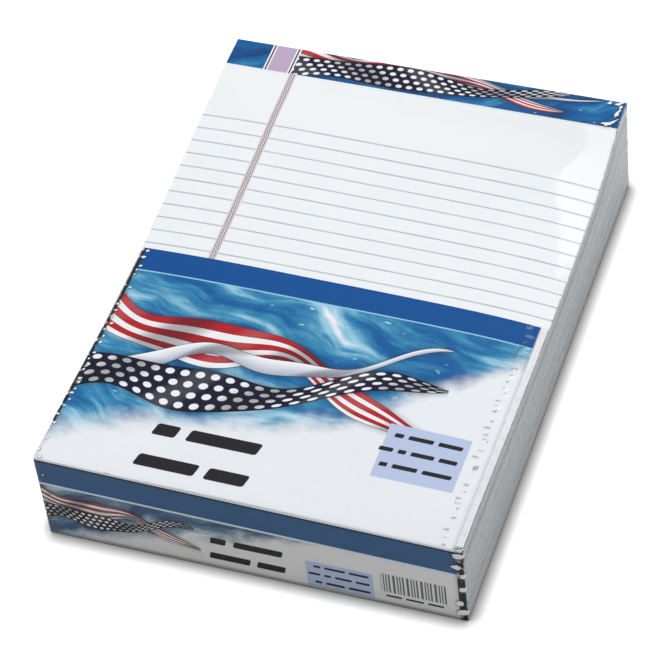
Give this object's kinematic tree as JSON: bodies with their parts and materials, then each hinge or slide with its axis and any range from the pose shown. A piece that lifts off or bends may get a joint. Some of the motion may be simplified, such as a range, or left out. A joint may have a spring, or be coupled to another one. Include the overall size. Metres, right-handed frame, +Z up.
{
  "type": "shrink-wrapped pack of legal pads",
  "caption": "Stack of ruled letter-size writing pads with printed head strips, sealed in clear shrink film with a printed label over the near half of the top and the foot end.",
  "frame": {"origin": "centre of the underside of the wrapped pack, on the surface that it stands on", "axes": "+X across the pads to the right as they are read, +Y along the pads towards their heads, +Z up out of the top page"},
  "size_m": [0.2176, 0.3, 0.062],
  "materials": {
    "sheets": "matte white ruled paper",
    "backing": "plain grey chipboard",
    "head_tape": "semi-gloss printed tape",
    "stitches": "bright wire",
    "label": "semi-gloss printed paper",
    "film": "clear glossy shrink film"
  },
  "bodies": {
    "root": {"film": "film", "label": "label", "pad_01_backing": "backing", "pad_01_head_tape": "head_tape", "pad_01_sheets": "sheets", "pad_01_stitches": "stitches", "pad_02_backing": "backing", "pad_02_head_tape": "head_tape", "pad_02_sheets": "sheets", "pad_02_stitches": "stitches", "pad_03_backing": "backing", "pad_03_head_tape": "head_tape", "pad_03_sheets": "sheets", "pad_03_stitches": "stitches", "pad_04_backing": "backing", "pad_04_head_tape": "head_tape", "pad_04_sheets": "sheets", "pad_04_stitches": "stitches", "pad_05_backing": "backing", "pad_05_head_tape": "head_tape", "pad_05_sheets": "sheets", "pad_05_stitches": "stitches", "pad_06_backing": "backing", "pad_06_head_tape": "head_tape", "pad_06_sheets": "sheets", "pad_06_stitches": "stitches", "pad_07_backing": "backing", "pad_07_head_tape": "head_tape", "pad_07_sheets": "sheets", "pad_07_stitches": "stitches", "pad_08_backing": "backing", "pad_08_head_tape": "head_tape", "pad_08_sheets": "sheets", "pad_08_stitches": "stitches", "pad_09_backing": "backing", "pad_09_head_tape": "head_tape", "pad_09_sheets": "sheets", "pad_09_stitches": "stitches", "pad_10_backing": "backing", "pad_10_head_tape": "head_tape", "pad_10_sheets": "sheets", "pad_10_stitches": "stitches", "pad_11_backing": "backing", "pad_11_head_tape": "head_tape", "pad_11_sheets": "sheets", "pad_11_stitches": "stitches", "pad_12_backing": "backing", "pad_12_head_tape": "head_tape", "pad_12_sheets": "sheets", "pad_12_stitches": "stitches"}
  },
  "joints": []
}
